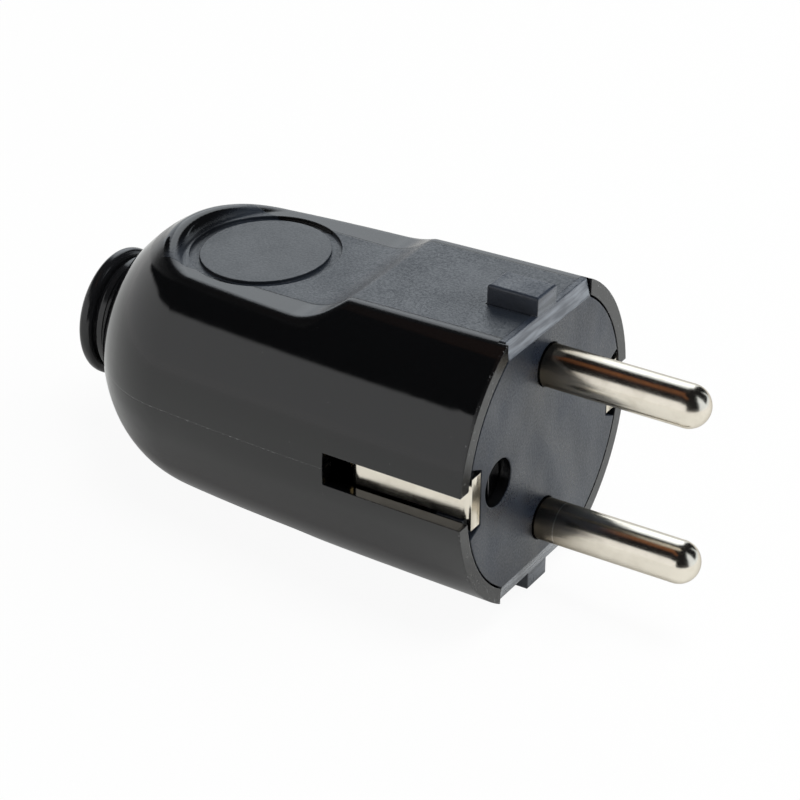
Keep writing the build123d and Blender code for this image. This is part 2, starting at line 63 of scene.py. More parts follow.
@dataclass(frozen=True)
class PlugAxes:
    """The plug's own axes: X out along the pins, Z from pin to pin, zero in the middle of the face."""

    origin: Vector
    ahead: Vector

    @classmethod
    def from_record(cls, record: dict) -> "PlugAxes":
        """Read the axes, in the row frame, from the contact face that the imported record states."""
        face = next(mount for mount in record["mounts"] if mount["name"] == "contact_face")
        return cls(Vector(face["pos_m"]), Vector(face["axis"]).normalized())

    @property
    def columns(self) -> tuple[Vector, Vector, Vector]:
        """The three axes as directions in the row frame."""
        across = Vector((0.0, 1.0, 0.0))
        return self.ahead, across, self.ahead.cross(across)

    def direction(self, x: float, y: float, z: float) -> Vector:
        """Turn a direction in the plug's axes into the row frame."""
        ahead, across, up = self.columns
        return ahead * x + across * y + up * z

    def point(self, x: float, y: float, z: float) -> Vector:
        """Place in the row frame, in metres, of a point given in the plug's axes in millimetres."""
        return self.origin + self.direction(x, y, z) * MM


@dataclass(frozen=True)
class Noise:
    """A noise pattern: size of its lumps in millimetres, octaves of detail and the detail's strength."""

    size: float
    detail: float
    rough: float


class Bench:
    """Lays out and wires nodes in one shader tree."""

    def __init__(self, tree: bpy.types.NodeTree) -> None:
        """Keep the tree that the nodes go into."""
        self.tree = tree

    def add(self, kind: str, inputs: dict | None = None, **settings: object) -> bpy.types.Node:
        """Add a node and fill its inputs.

        Args:
            kind: Blender's type name of the node.
            inputs: Values or output sockets by the input's name or index.
            settings: The node's own properties.

        Returns:
            The new node.
        """
        node = self.tree.nodes.new(kind)
        for name, value in settings.items():
            setattr(node, name, value)
        for key, value in (inputs or {}).items():
            if isinstance(value, Socket):
                self.link(value, node, key)
            else:
                node.inputs[key].default_value = value
        return node

    def link(self, output: Socket, node: bpy.types.Node, key: str | int) -> None:
        """Wire an output to one input of a node, given by its name or index."""
        self.tree.links.new(output, node.inputs[key])

    def group(self, tree: bpy.types.NodeTree, **inputs: object) -> Sockets:
        """Place a node group, fill its inputs by their names in small letters and hand back its outputs."""
        named = {name.capitalize(): value for name, value in inputs.items()}
        return self.add("ShaderNodeGroup", named, node_tree=tree).outputs

    def calc(self, operation: str, *terms: object) -> Socket:
        """Result of a math node on values or sockets."""
        return self.add("ShaderNodeMath", dict(enumerate(terms)), operation=operation).outputs[0]

    def vector(self, operation: str, *terms: object) -> bpy.types.Node:
        """Vector math node on vectors or sockets."""
        return self.add("ShaderNodeVectorMath", dict(enumerate(terms)), operation=operation)

    def product(self, first: Socket, *others: object) -> Socket:
        """Multiply several values.

        Args:
            first: The first factor.
            others: The other factors, values or sockets.

        Returns:
            The product.
        """
        for other in others:
            first = self.calc("MULTIPLY", first, other)
        return first

    def ramp(self, value: Socket, start: float, end: float, low: float = 0.0, high: float = 1.0) -> Socket:
        """Smooth step of a value.

        Args:
            value: The value to map.
            start: Where the step begins.
            end: Where it ends; it may lie below the start.
            low: Result at the start.
            high: Result at the end.

        Returns:
            The mapped value, held between both results.
        """
        if start > end:
            start, end, low, high = end, start, high, low
        inputs = {"Value": value, "From Min": start, "From Max": end, "To Min": low, "To Max": high}
        return self.add("ShaderNodeMapRange", inputs, interpolation_type="SMOOTHSTEP").outputs["Result"]

    def band(self, value: Socket, centre: float, half: float, soft: float) -> Socket:
        """Mask of a band with soft edges."""
        distance = self.calc("ABSOLUTE", self.calc("SUBTRACT", value, centre))
        return self.ramp(distance, half + soft, half)

    def noise(self, place: Socket, pattern: Noise) -> Socket:
        """Noise from 0 to 1 at a place in millimetres."""
        inputs = {"Vector": place, "Scale": 1.0 / pattern.size,
                  "Detail": pattern.detail, "Roughness": pattern.rough}
        return self.add("ShaderNodeTexNoise", inputs).outputs["Fac"]

    def mottle(self, place: Socket, pattern: Noise, span: Span, low: float = 0.0,
               high: float = 1.0) -> Socket:
        """Noise at a place, with one span of its values stretched from low to high."""
        return self.ramp(self.noise(place, pattern), *span, low, high)

    def blend(self, factor: object, first: object, second: object) -> Socket:
        """Mix of two values."""
        inputs = {"Factor": factor, **dict(zip(MIX_VALUES, (first, second)))}
        return self.add("ShaderNodeMix", inputs, data_type="FLOAT").outputs[0]

    def tint(self, factor: object, first: object, second: object) -> Socket:
        """Mix two colours.

        Args:
            factor: Share of the second colour.
            first: A socket or three numbers.
            second: A socket or three numbers.

        Returns:
            The mixed colour.
        """
        inputs = {"Factor": factor}
        for index, colour in zip(MIX_COLOURS, (first, second)):
            inputs[index] = colour if isinstance(colour, Socket) else (*colour, 1.0)
        return self.add("ShaderNodeMix", inputs, data_type="RGBA").outputs[MIXED_COLOUR]


class OpenGroup(NamedTuple):
    """A node group under construction."""

    tree: bpy.types.NodeTree
    bench: Bench
    start: bpy.types.Node
    end: bpy.types.Node


class Effects:
    """Surface effects that several finishes share, each built once as a node group."""

    bump_noise: Noise = Noise(1.0, 3.0, 0.75)
    speck_noise: Noise = Noise(0.9, 2.0, 0.7)
    speck_span: Span = (0.32, 0.68)
    cloud_noise: Noise = Noise(5.0, 4.0, 0.6)
    bevel_samples: int = 6
    edge_span: Span = (0.995, 0.9)
    break_noise: Noise = Noise(0.4, 4.0, 0.8)
    break_span: Span = (0.5, 0.68)
    patch_noise: Noise = Noise(3.0, 3.0, 0.6)
    patch_span: Span = (0.46, 0.66)
    spot_span: Span = (0.07, 0.03)
    dusty_noise: Noise = Noise(2.5, 2.0, 0.5)
    dusty_span: Span = (0.56, 0.62)
    line_noise: Noise = Noise(0.12, 3.0, 0.6)
    tarnish_noise: Noise = Noise(3.0, 5.0, 0.65)

    def __init__(self, axes: PlugAxes) -> None:
        """Build the groups.

        Args:
            axes: The plug's axes, which every pattern follows.
        """
        self.place = self._place(axes)
        self.grain = self._grain()
        self.edges = self._edges()
        self.dust = self._dust()
        self.streaks = self._streaks()

    @staticmethod
    def _open(name: str, inputs: dict[str, str], outputs: dict[str, str]) -> OpenGroup:
        """Open a node group with its sockets.

        Args:
            name: Name of the group.
            inputs: Kind of each input.
            outputs: Kind of each output.

        Returns:
            The group with its bench and its two end nodes.
        """
        tree = bpy.data.node_groups.new(name, "ShaderNodeTree")
        for label, kind in inputs.items():
            tree.interface.new_socket(label, in_out="INPUT", socket_type=f"NodeSocket{kind}")
        for label, kind in outputs.items():
            tree.interface.new_socket(label, in_out="OUTPUT", socket_type=f"NodeSocket{kind}")
        bench = Bench(tree)
        return OpenGroup(tree, bench, bench.add("NodeGroupInput"), bench.add("NodeGroupOutput"))

    @staticmethod
    def _scaled(group: OpenGroup) -> Socket:
        """Divide a group's place by its size.

        Args:
            group: A group with both inputs.

        Returns:
            The place in lumps instead of millimetres.
        """
        scaled = group.bench.vector("SCALE", group.start.outputs["Place"])
        group.bench.link(group.bench.calc("DIVIDE", 1.0, group.start.outputs["Size"]), scaled, "Scale")
        return scaled.outputs[0]

    def _place(self, axes: PlugAxes) -> bpy.types.NodeTree:
        """Place on the surface in the plug's own axes, in millimetres.

        Args:
            axes: The plug's axes.

        Returns:
            The group's tree.
        """
        group = self._open("plug_place", {}, {"Place": "Vector", "X": "Float", "Y": "Float", "Z": "Float"})
        bench = group.bench
        coordinates = bench.add("ShaderNodeTexCoord").outputs["Object"]
        offset = bench.vector("SUBTRACT", coordinates, axes.origin).outputs[0]
        parts = {}
        for label, column in zip("XYZ", axes.columns):
            parts[label] = bench.vector("DOT_PRODUCT", offset, column / MM).outputs["Value"]
            bench.link(parts[label], group.end, label)
        bench.link(bench.add("ShaderNodeCombineXYZ", parts).outputs[0], group.end, "Place")
        return group.tree

    def _grain(self) -> bpy.types.NodeTree:
        """Moulded grain: irregular fine bumps, specks of uneven sheen and slow clouds.

        Returns:
            The group's tree.
        """
        outputs = {"Height": "Float", "Speck": "Float", "Cloud": "Float"}
        group = self._open("moulded_grain", {"Place": "Vector", "Size": "Float"}, outputs)
        bench, scaled = group.bench, self._scaled(group)
        bench.link(bench.noise(scaled, self.bump_noise), group.end, "Height")
        bench.link(bench.mottle(scaled, self.speck_noise, self.speck_span), group.end, "Speck")
        bench.link(bench.noise(group.start.outputs["Place"], self.cloud_noise), group.end, "Cloud")
        return group.tree

    def _edges(self) -> bpy.types.NodeTree:
        """Rounded normal at sharp edges and a broken mask of the wear along them.

        Returns:
            The group's tree.
        """
        inputs = {"Place": "Vector", "Width": "Float", "Amount": "Float"}
        group = self._open("worn_edges", inputs, {"Mask": "Float", "Normal": "Vector"})
        bench, start = group.bench, group.start.outputs
        bevel = bench.add("ShaderNodeBevel", {"Radius": start["Width"]}, samples=self.bevel_samples)
        rounded = bevel.outputs[0]
        true_normal = bench.add("ShaderNodeNewGeometry").outputs["Normal"]
        alike = bench.vector("DOT_PRODUCT", rounded, true_normal).outputs["Value"]
        edge = bench.ramp(alike, *self.edge_span)
        broken = bench.mottle(start["Place"], self.break_noise, self.break_span)
        patches = bench.mottle(start["Place"], self.patch_noise, self.patch_span)
        bench.link(bench.product(edge, broken, patches, start["Amount"]), group.end, "Mask")
        bench.link(rounded, group.end, "Normal")
        return group.tree

    def _dust(self) -> bpy.types.NodeTree:
        """Mask of sparse dust specks.

        Returns:
            The group's tree.
        """
        inputs = {"Place": "Vector", "Size": "Float", "Amount": "Float"}
        group = self._open("dust_specks", inputs, {"Mask": "Float"})
        bench, start = group.bench, group.start.outputs
        specks = bench.add("ShaderNodeTexVoronoi", {"Vector": self._scaled(group), "Scale": 1.0})
        spot = bench.ramp(specks.outputs["Distance"], *self.spot_span)
        dusty = bench.mottle(start["Place"], self.dusty_noise, self.dusty_span)
        bench.link(bench.product(spot, dusty, start["Amount"]), group.end, "Mask")
        return group.tree

    def _streaks(self) -> bpy.types.NodeTree:
        """Fine drawing marks along the plug and slow clouds of tarnish.

        Returns:
            The group's tree.
        """
        inputs = {"Place": "Vector", "Stretch": "Float"}
        group = self._open("metal_streaks", inputs, {"Lines": "Float", "Tarnish": "Float"})
        bench, start = group.bench, group.start.outputs
        split = bench.add("ShaderNodeSeparateXYZ", {0: start["Place"]}).outputs
        along = bench.calc("MULTIPLY", split["X"], start["Stretch"])
        drawn = bench.add("ShaderNodeCombineXYZ", {"X": along, "Y": split["Y"], "Z": split["Z"]}).outputs[0]
        bench.link(bench.noise(drawn, self.line_noise), group.end, "Lines")
        bench.link(bench.noise(start["Place"], self.tarnish_noise), group.end, "Tarnish")
        return group.tree


class Layers(NamedTuple):
    """What a finish feeds into its shader, with the height in millimetres."""

    tone: Socket
    rough: Socket
    height: Socket
    normal: Socket | None = None


@dataclass(frozen=True)
class Finish:
    """One material slot's finish; each kind lays its own layers."""

    slot: Slot
    colour: Colour
    roughness: float

    def build(self, effects: Effects) -> bpy.types.Material:
        """Make the material.

        Args:
            effects: The shared node groups.

        Returns:
            The material, named after its slot.
        """
        material = bpy.data.materials.new(self.slot.value)
        material.use_nodes = True
        material.node_tree.nodes.clear()
        bench = Bench(material.node_tree)
        constants = {"Base Color": (*self.colour, 1.0), "Roughness": self.roughness, **self.constants()}
        shader = bench.add("ShaderNodeBsdfPrincipled", constants)
        bench.add("ShaderNodeOutputMaterial", {"Surface": shader.outputs[0]})
        layers = self.layers(bench, effects)
        bump = bench.add("ShaderNodeBump", {"Height": layers.height, "Distance": MM, "Strength": 1.0})
        if layers.normal is not None:
            bench.link(layers.normal, bump, "Normal")
        bench.link(layers.tone, shader, "Base Color")
        bench.link(layers.rough, shader, "Roughness")
        bench.link(bump.outputs[0], shader, "Normal")
        return material

    def constants(self) -> dict[str, object]:
        """Values that stay the same all over, by the shader's input."""
        return {}

    def layers(self, bench: Bench, effects: Effects) -> Layers:
        """Lay out the finish's own pattern."""
        raise NotImplementedError

    @staticmethod
    def clouded(bench: Bench, cloud: Socket, middle: float) -> Socket:
        """Roughness that drifts a little about a middle value."""
        return bench.ramp(cloud, *CLOUD_SPAN, middle - CLOUD_SPREAD, middle + CLOUD_SPREAD)


class ShellMasks(NamedTuple):
    """Where the housing's surface changes, each from 0 to 1."""

    panel: Socket
    label: Socket
    line: Socket
    mould: Socket
    satin: Socket
    rim: Socket


@dataclass(frozen=True)
class GlossShell(Finish):
    """High-gloss shell with grained flats and a mould line along its sides; lengths in millimetres."""

    ior: float = 1.55
    matte_colour: Colour = (0.016, 0.02, 0.027)
    line_colour: Colour = (0.002, 0.002, 0.002)
    fleck_colour: Colour = (0.25, 0.25, 0.25)
    matte_roughness: float = 0.4
    label_roughness: float = 0.34
    satin_roughness: float = 0.26
    panel_half: float = 8.05
    panel_fade: float = 0.1
    panel_height: float = 12.4
    panel_rise: float = 0.3
    panel_back: Span = (-45.0, -42.5)
    line_half: float = 0.07
    line_fade: float = 0.05
    line_back: Span = (-34.3, -33.7)
    line_depth: float = 0.08
    mould_half: float = 0.03
    mould_front: Span = (-16.8, -17.2)
    mould_depth: float = 0.02
    label_middle: float = -36.0
    label_long: float = 7.1
    label_wide: float = 7.8
    label_edge: Span = (1.02, 0.98)
    label_side: Span = (0.0, 1.0)
    label_dark: float = 0.35
    label_smooth: float = 0.4
    label_speck: float = 0.6
    label_depth: float = 0.02
    ramp_place: Span = (-23.5, -19.3)
    floor_height: float = 13.2
    ridge_height: float = 15.45
    satin_rise: float = 0.05
    satin_half: float = 0.5
    satin_fade: float = 0.3
    rim_place: Span = (-0.5, -0.3)
    grain_size: float = 0.3
    grain_depth: float = 0.03
    speck: float = 0.08
    edge_width: float = 0.16
    wear: float = 0.8
    dust_size: float = 1.1
    dust: float = 0.25
    chip_noise: Noise = Noise(0.45, 4.0, 0.75)
    chip_span: Span = (0.6, 0.66)
    chip_share: float = 0.6
    nick_noise: Noise = Noise(0.35, 3.0, 0.7)
    nick_span: Span = (0.52, 0.6)
    nick_share: float = 0.5
    sheen_noise: Noise = Noise(1.5, 5.0, 0.6)
    sheen_span: Span = (0.3, 0.75)
    wave_noise: Noise = Noise(6.0, 2.0, 0.4)
    wave_depth: float = 0.012

    def constants(self) -> dict[str, object]:
        """The plastic's index of refraction."""
        return {"IOR": self.ior}

    def layers(self, bench: Bench, effects: Effects) -> Layers:
        """Split gloss and matte by place, with panel lines, mould line, grain, wear and dust.

        Args:
            bench: Where the nodes go.
            effects: The shared node groups.

        Returns:
            The shell's layers.
        """
        here = bench.group(effects.place)
        place = here["Place"]
        masks = self._masks(bench, here["X"], here["Y"], here["Z"])
        grain = bench.group(effects.grain, place=place, size=self.grain_size)
        edges = bench.group(effects.edges, place=place, width=self.edge_width * MM, amount=self.wear)
        dust = bench.group(effects.dust, place=place, size=self.dust_size, amount=self.dust)
        flecks = bench.calc("MAXIMUM", edges["Mask"], dust["Mask"])
        return Layers(
            tone=self._tone(bench, place, masks, flecks),
            rough=self._rough(bench, place, masks, grain["Cloud"], grain["Speck"]),
            height=self._height(bench, place, masks, grain["Height"]),
            normal=edges["Normal"],
        )

    def _masks(self, bench: Bench, x: Socket, y: Socket, z: Socket) -> ShellMasks:
        """Find the shell's regions.

        Args:
            bench: Where the nodes go.
            x: Place along the plug, in millimetres.
            y: Place across it.
            z: Height above its middle.

        Returns:
            The masks.
        """
        side, level = bench.calc("ABSOLUTE", y), bench.calc("ABSOLUTE", z)
        high = bench.ramp(level, self.panel_height, self.panel_height + self.panel_rise)
        inside = bench.ramp(side, self.panel_half, self.panel_half - self.panel_fade)
        seam = bench.band(side, self.panel_half, self.line_half, self.line_fade)
        parting = bench.band(z, 0.0, self.mould_half, self.line_fade)
        ahead = bench.calc("DIVIDE", bench.calc("SUBTRACT", x, self.label_middle), self.label_long)
        across = bench.calc("DIVIDE", y, self.label_wide)
        oval = bench.calc("ADD", bench.calc("POWER", ahead, 2.0), bench.calc("POWER", across, 2.0))
        border = bench.ramp(x, *self.ramp_place, self.floor_height, self.ridge_height)
        above = bench.calc("SUBTRACT", level, border)
        return ShellMasks(
            panel=bench.product(inside, high, bench.ramp(x, *self.panel_back)),
            label=bench.product(bench.ramp(oval, *self.label_edge), bench.ramp(z, *self.label_side)),
            line=bench.product(seam, high, bench.ramp(x, *self.line_back)),
            mould=bench.product(parting, bench.ramp(x, *self.mould_front)),
            satin=bench.band(above, self.satin_rise, self.satin_half, self.satin_fade),
            rim=bench.ramp(x, *self.rim_place),
        )

    def _tone(self, bench: Bench, place: Socket, masks: ShellMasks, flecks: Socket) -> Socket:
        """Colour the regions, the worn spots and the chips.

        Args:
            bench: Where the nodes go.
            place: Place in millimetres.
            masks: The shell's regions.
            flecks: Mask of worn edges and dust.

        Returns:
            The colour.
        """
        tone = bench.tint(masks.panel, self.colour, self.matte_colour)
        tone = bench.tint(bench.product(masks.label, self.label_dark), tone, self.colour)
        tone = bench.tint(masks.line, tone, self.line_colour)
        chips = bench.mottle(place, self.chip_noise, self.chip_span)
        nicks = bench.mottle(place, self.nick_noise, self.nick_span)
        marks = bench.calc("MAXIMUM", flecks, bench.product(masks.rim, chips, self.chip_share))
        marks = bench.calc("MAXIMUM", marks, bench.product(masks.mould, nicks, self.nick_share))
        return bench.tint(marks, tone, self.fleck_colour)

    def _rough(self, bench: Bench, place: Socket, masks: ShellMasks, cloud: Socket, speck: Socket) -> Socket:
        """Set gloss, satin and matte regions apart.

        Args:
            bench: Where the nodes go.
            place: Place in millimetres.
            masks: The shell's regions.
            cloud: Slow drift of the grain.
            speck: Fine specks of the grain.

        Returns:
            The roughness.
        """
        low, high = (self.roughness * share for share in SHEEN_SPREAD)
        gloss = bench.mottle(place, self.sheen_noise, self.sheen_span, low, high)
        gloss = bench.blend(bench.calc("MAXIMUM", masks.satin, masks.rim), gloss, self.satin_roughness)
        matte = self.clouded(bench, cloud, self.matte_roughness)
        matte = bench.blend(bench.product(masks.label, self.label_smooth), matte, self.label_roughness)
        uneven = bench.ramp(speck, 0.0, 1.0, -self.speck, self.speck)
        uneven = bench.product(uneven, bench.ramp(masks.label, 0.0, 1.0, 1.0, self.label_speck))
        return bench.blend(masks.panel, gloss, bench.calc("ADD", matte, uneven))

    def _height(self, bench: Bench, place: Socket, masks: ShellMasks, grain: Socket) -> Socket:
        """Add grain and waviness and cut the fine lines.

        Args:
            bench: Where the nodes go.
            place: Place in millimetres.
            masks: The shell's regions.
            grain: Height of the grain, from 0 to 1.

        Returns:
            The height in millimetres.
        """
        depth = bench.ramp(masks.label, 0.0, 1.0, self.grain_depth, self.label_depth)
        wave = bench.product(bench.noise(place, self.wave_noise), self.wave_depth)
        height = bench.calc("ADD", bench.product(grain, masks.panel, depth), wave)
        height = bench.calc("SUBTRACT", height, bench.product(masks.line, self.line_depth))
        return bench.calc("SUBTRACT", height, bench.product(masks.mould, self.mould_depth))


@dataclass(frozen=True)
class MattePlastic(Finish):
    """Moulded plastic with a fine grain, worn along its edges; lengths in millimetres."""

    ior: float = 1.5
    grain_size: float = 0.3
    grain_depth: float = 0.03
    speck: float = 0.08
    edge_width: float = 0.25
    wear: float = 0.6
    wear_colour: Colour = (0.3, 0.31, 0.33)
    dust_size: float = 0.9
    dust: float = 0.4
    cloud_shares: Span = (0.8, 1.2)

    def constants(self) -> dict[str, object]:
        """The plastic's index of refraction."""
        return {"IOR": self.ior}

    def layers(self, bench: Bench, effects: Effects) -> Layers:
        """Lay grain, slow clouds, worn edges and dust.

        Args:
            bench: Where the nodes go.
            effects: The shared node groups.

        Returns:
            The moulding's layers.
        """
        here = bench.group(effects.place)
        place = here["Place"]
        grain = bench.group(effects.grain, place=place, size=self.grain_size)
        edges = bench.group(effects.edges, place=place, width=self.edge_width * MM, amount=self.wear)
        dust = bench.group(effects.dust, place=place, size=self.dust_size, amount=self.dust)
        darker, lighter = (tuple(share * part for part in self.colour) for share in self.cloud_shares)
        tone = bench.tint(bench.ramp(grain["Cloud"], *CLOUD_SPAN), darker, lighter)
        tone = bench.tint(bench.calc("MAXIMUM", edges["Mask"], dust["Mask"]), tone, self.wear_colour)
        rough = self.clouded(bench, grain["Cloud"], self.roughness)
        rough = bench.calc("ADD", rough, bench.ramp(grain["Speck"], 0.0, 1.0, -self.speck, self.speck))
        height = bench.product(grain["Height"], self.grain_depth)
        return self.vary(bench, here, Layers(tone, rough, height, edges["Normal"]))

    def vary(self, bench: Bench, here: Sockets, layers: Layers) -> Layers:
        """Change the layers in places; plain mouldings keep them."""
        return layers


@dataclass(frozen=True)
class CarrierPlastic(MattePlastic):
    """Grained plastic of the contact carrier, with painted shade in its screw hole and a painted highlight in
    streaks on the bevel of its lips.
    """

    hole_side: float = -10.2
    hole_edge: Span = (2.81, 2.78)
    hole_front: Span = (-0.05, -0.2)
    # Painted shade: the screw hole's wall is coloured dark for the shade inside the hole.
    hole_shade_colour: Colour = (0.004, 0.004, 0.0045)
    hole_roughness: float = 0.15
    bevel_height: Span = (13.75, 13.95)
    bevel_back: Span = (-0.55, -0.45)
    bevel_roughness: float = 0.24
    bevel_smooth: float = 0.8
    # Painted highlight: a lighter colour in streaks on the lip bevel stands in for the bright sheen it
    # reflects.
    bevel_highlight_colour: Colour = (0.22, 0.235, 0.26)
    highlight_stretch: Triple = (1.0, 0.12, 1.0)
    highlight_noise: Noise = Noise(0.6, 2.0, 0.5)
    highlight_least: float = 0.25
    flow: float = 0.065
    flow_stretch: Triple = (1.0, 1.0, 0.5)
    flow_noise: Noise = Noise(4.0, 1.0, 0.4)

    def vary(self, bench: Bench, here: Sockets, layers: Layers) -> Layers:
        """Add flow marks, a painted highlight in streaks on the bevel and painted shade on the wall of the
        screw hole.

        Args:
            bench: Where the nodes go.
            here: The place and its parts in the plug's axes.
            layers: The plain moulding's layers.

        Returns:
            The changed layers.
        """
        place, x, z = here["Place"], here["X"], here["Z"]
        offset = bench.calc("SUBTRACT", here["Y"], self.hole_side)
        square = bench.calc("ADD", bench.calc("MULTIPLY", offset, offset), bench.calc("POWER", z, 2.0))
        wall = bench.ramp(bench.calc("SQRT", square), *self.hole_edge)
        hole = bench.product(wall, bench.ramp(x, *self.hole_front))
        lip = bench.ramp(bench.calc("ABSOLUTE", z), *self.bevel_height)
        bevel = bench.product(lip, bench.ramp(x, *self.bevel_back))
        flowing = bench.vector("MULTIPLY", place, self.flow_stretch).outputs[0]
        highlight_place = bench.vector("MULTIPLY", place, self.highlight_stretch).outputs[0]
        streaks = bench.mottle(highlight_place, self.highlight_noise, CLOUD_SPAN, self.highlight_least)
        # Painted highlight on the lip bevel, in streaks.
        tone = bench.tint(bench.product(streaks, bevel), layers.tone, self.bevel_highlight_colour)
        # Painted shade on the wall of the screw hole.
        tone = bench.tint(hole, tone, self.hole_shade_colour)
        drift = bench.mottle(flowing, self.flow_noise, CLOUD_SPAN, -self.flow, self.flow)
        rough = bench.blend(bevel, bench.calc("ADD", layers.rough, drift), self.bevel_roughness)
        rough = bench.blend(hole, rough, self.hole_roughness)
        smooth = bench.calc("SUBTRACT", 1.0, bench.product(bevel, self.bevel_smooth))
        return Layers(tone, rough, bench.product(layers.height, smooth), layers.normal)


@dataclass(frozen=True)
class PlatedMetal(Finish):
    """Polished or plated metal with drawing marks and a breath of tarnish; lengths in millimetres."""

    tarnish_colour: Colour = (0.55, 0.48, 0.38)
    tarnish: float = 0.3
    tarnish_span: Span = (0.45, 0.75)
    edge_tint: Colour = (0.6, 0.58, 0.55)
    polish_mix: float = 0.5
    polish_spread: Span = (0.75, 1.4)
    line_stretch: float = 0.05
    line_depth: float = 0.0015
    edge_width: float = 0.12
    strip_side: Span = (14.5, 15.5)
    strip_crown: float = 0.025
    pin_front: Span = (-0.1, 0.0)
    pin_side: Span = (6.0, 5.0)
    # Painted reflection: the pins darken towards their roots, where they mirror the dark face.
    root_reflection_colour: Colour = (0.21, 0.165, 0.11)
    reflection_reach: float = 9.0
    reflection_share: float = 0.9
    ring_place: float = 2.5
    ring_half: float = 0.03
    ring_fade: float = 0.06
    ring_side: Span = (0.0, -1.0)
    ring_share: float = 0.6

    def constants(self) -> dict[str, object]:
        """Full metal with a darker tint at grazing angles."""
        return {"Metallic": 1.0, "Specular Tint": (*self.edge_tint, 1.0)}

    def layers(self, bench: Bench, effects: Effects) -> Layers:
        """Lay tarnish, uneven polish, drawing marks and the crown of the earth strips.

        Args:
            bench: Where the nodes go.
            effects: The shared node groups.

        Returns:
            The metal's layers.
        """
        here = bench.group(effects.place)
        place = here["Place"]
        streaks = bench.group(effects.streaks, place=place, stretch=self.line_stretch)
        edges = bench.group(effects.edges, place=place, width=self.edge_width * MM, amount=0.0)
        dull = bench.ramp(streaks["Tarnish"], *self.tarnish_span, 0.0, self.tarnish)
        tone = bench.tint(dull, self.colour, self.tarnish_colour)
        uneven = bench.blend(self.polish_mix, streaks["Lines"], streaks["Tarnish"])
        low, high = (self.roughness * share for share in self.polish_spread)
        rough = bench.ramp(uneven, *CLOUD_SPAN, low, high)
        outside = bench.ramp(bench.calc("ABSOLUTE", here["Y"]), *self.strip_side)
        crown = bench.product(here["Z"], here["Z"], outside, self.strip_crown)
        height = bench.calc("SUBTRACT", bench.product(streaks["Lines"], self.line_depth), crown)
        return Layers(self._pin_reflection_and_ring(bench, here, tone), rough, height, edges["Normal"])

    def _pin_reflection_and_ring(self, bench: Bench, here: Sockets, tone: Socket) -> Socket:
        """Paint a dark reflection of the face on the pins towards their roots and draw the ring on the lower
        one.

        Args:
            bench: Where the nodes go.
            here: The place's parts in the plug's axes.
            tone: The metal's colour so far.

        Returns:
            The changed colour.
        """
        x, side = here["X"], bench.calc("ABSOLUTE", here["Y"])
        free = bench.product(bench.ramp(x, *self.pin_front), bench.ramp(side, *self.pin_side))
        # Painted reflection of the dark face, growing towards the roots.
        face_reflection = bench.product(free, bench.ramp(x, self.reflection_reach, 0.0, 0.0, self.reflection_share))
        ring = bench.band(x, self.ring_place, self.ring_half, self.ring_fade)
        ring = bench.product(ring, bench.ramp(here["Z"], *self.ring_side), free, self.ring_share)
        return bench.tint(ring, bench.tint(face_reflection, tone, self.root_reflection_colour), self.colour)


@dataclass(frozen=True)
class SoftRubber(Finish):
    """Smooth glossy soft plastic with a faint waviness and dust; lengths in millimetres."""

    grain_size: float = 0.4
    wave_depth: float = 0.03
    dust_size: float = 1.0
    dust: float = 0.3
    dust_colour: Colour = (0.2, 0.2, 0.2)

    def layers(self, bench: Bench, effects: Effects) -> Layers:
        """Lay waviness, uneven gloss and dust.

        Args:
            bench: Where the nodes go.
            effects: The shared node groups.

        Returns:
            The rubber's layers.
        """
        place = bench.group(effects.place)["Place"]
        cloud = bench.group(effects.grain, place=place, size=self.grain_size)["Cloud"]
        dust = bench.group(effects.dust, place=place, size=self.dust_size, amount=self.dust)
        low, high = (self.roughness * share for share in SHEEN_SPREAD)
        return Layers(
            tone=bench.tint(dust["Mask"], self.colour, self.dust_colour),
            rough=bench.ramp(cloud, *CLOUD_SPAN, low, high),
            height=bench.product(cloud, self.wave_depth),
        )


FINISHES = (
    GlossShell(Slot.SHELL, (0.0035, 0.0036, 0.004), 0.06),
    CarrierPlastic(Slot.CARRIER, (0.018, 0.023, 0.034), 0.4, ior=1.57),
    PlatedMetal(Slot.PLATED, (0.82, 0.765, 0.665), 0.19),
    PlatedMetal(Slot.BRASS, (0.78, 0.57, 0.26), 0.24, tarnish_colour=(0.4, 0.25, 0.1), tarnish=0.5),
    PlatedMetal(Slot.ZINC, (0.66, 0.67, 0.69), 0.3, tarnish_colour=(0.4, 0.4, 0.4), tarnish=0.4),
    PlatedMetal(Slot.DARK_STEEL, (0.26, 0.26, 0.27), 0.16, tarnish_colour=(0.1, 0.08, 0.06), tarnish=0.4),
    MattePlastic(Slot.INNER, (0.25, 0.25, 0.25), 0.5),
    SoftRubber(Slot.RUBBER, (0.01, 0.01, 0.011), 0.2),
)


@dataclass
class SubAssembly:
    """A group of CAD pieces that are dressed together."""

    finishes: dict[Slot, bpy.types.Material]

    def pieces(self) -> dict[str, Slot]:
        """Node names and the slot that each takes its finish from."""
        raise NotImplementedError

    def dress(self) -> None:
        """Give each piece its finish and report it."""
        for name, slot in self.pieces().items():
            mesh = frame["nodes"][name].data
            mesh.materials.clear()
            mesh.materials.append(self.finishes[slot])
            LOG.info("%s dressed in %s", name, slot.value)


@dataclass
class Housing(SubAssembly):
    """Rear cap of the plug."""

    def pieces(self) -> dict[str, Slot]:
        """The one-piece cap."""
        return {"housing": Slot.SHELL}


@dataclass
class FrontInsert(SubAssembly):
    """Contact carrier with its face, lips and keys."""

    def pieces(self) -> dict[str, Slot]:
        """The one-piece carrier."""
        return {"contact_carrier": Slot.CARRIER}


@dataclass
class Pins(SubAssembly):
    """Both pins with what holds them and clamps their wires."""

    def pieces(self) -> dict[str, Slot]:
        """Pins, retainers and their screws."""
        return {
            "upper_pin": Slot.PLATED,
            "lower_pin": Slot.PLATED,
            "pin_terminal_screws": Slot.ZINC,
            "upper_pin_retainer": Slot.INNER,
            "lower_pin_retainer": Slot.INNER,
            "retainer_screws": Slot.ZINC,
        }


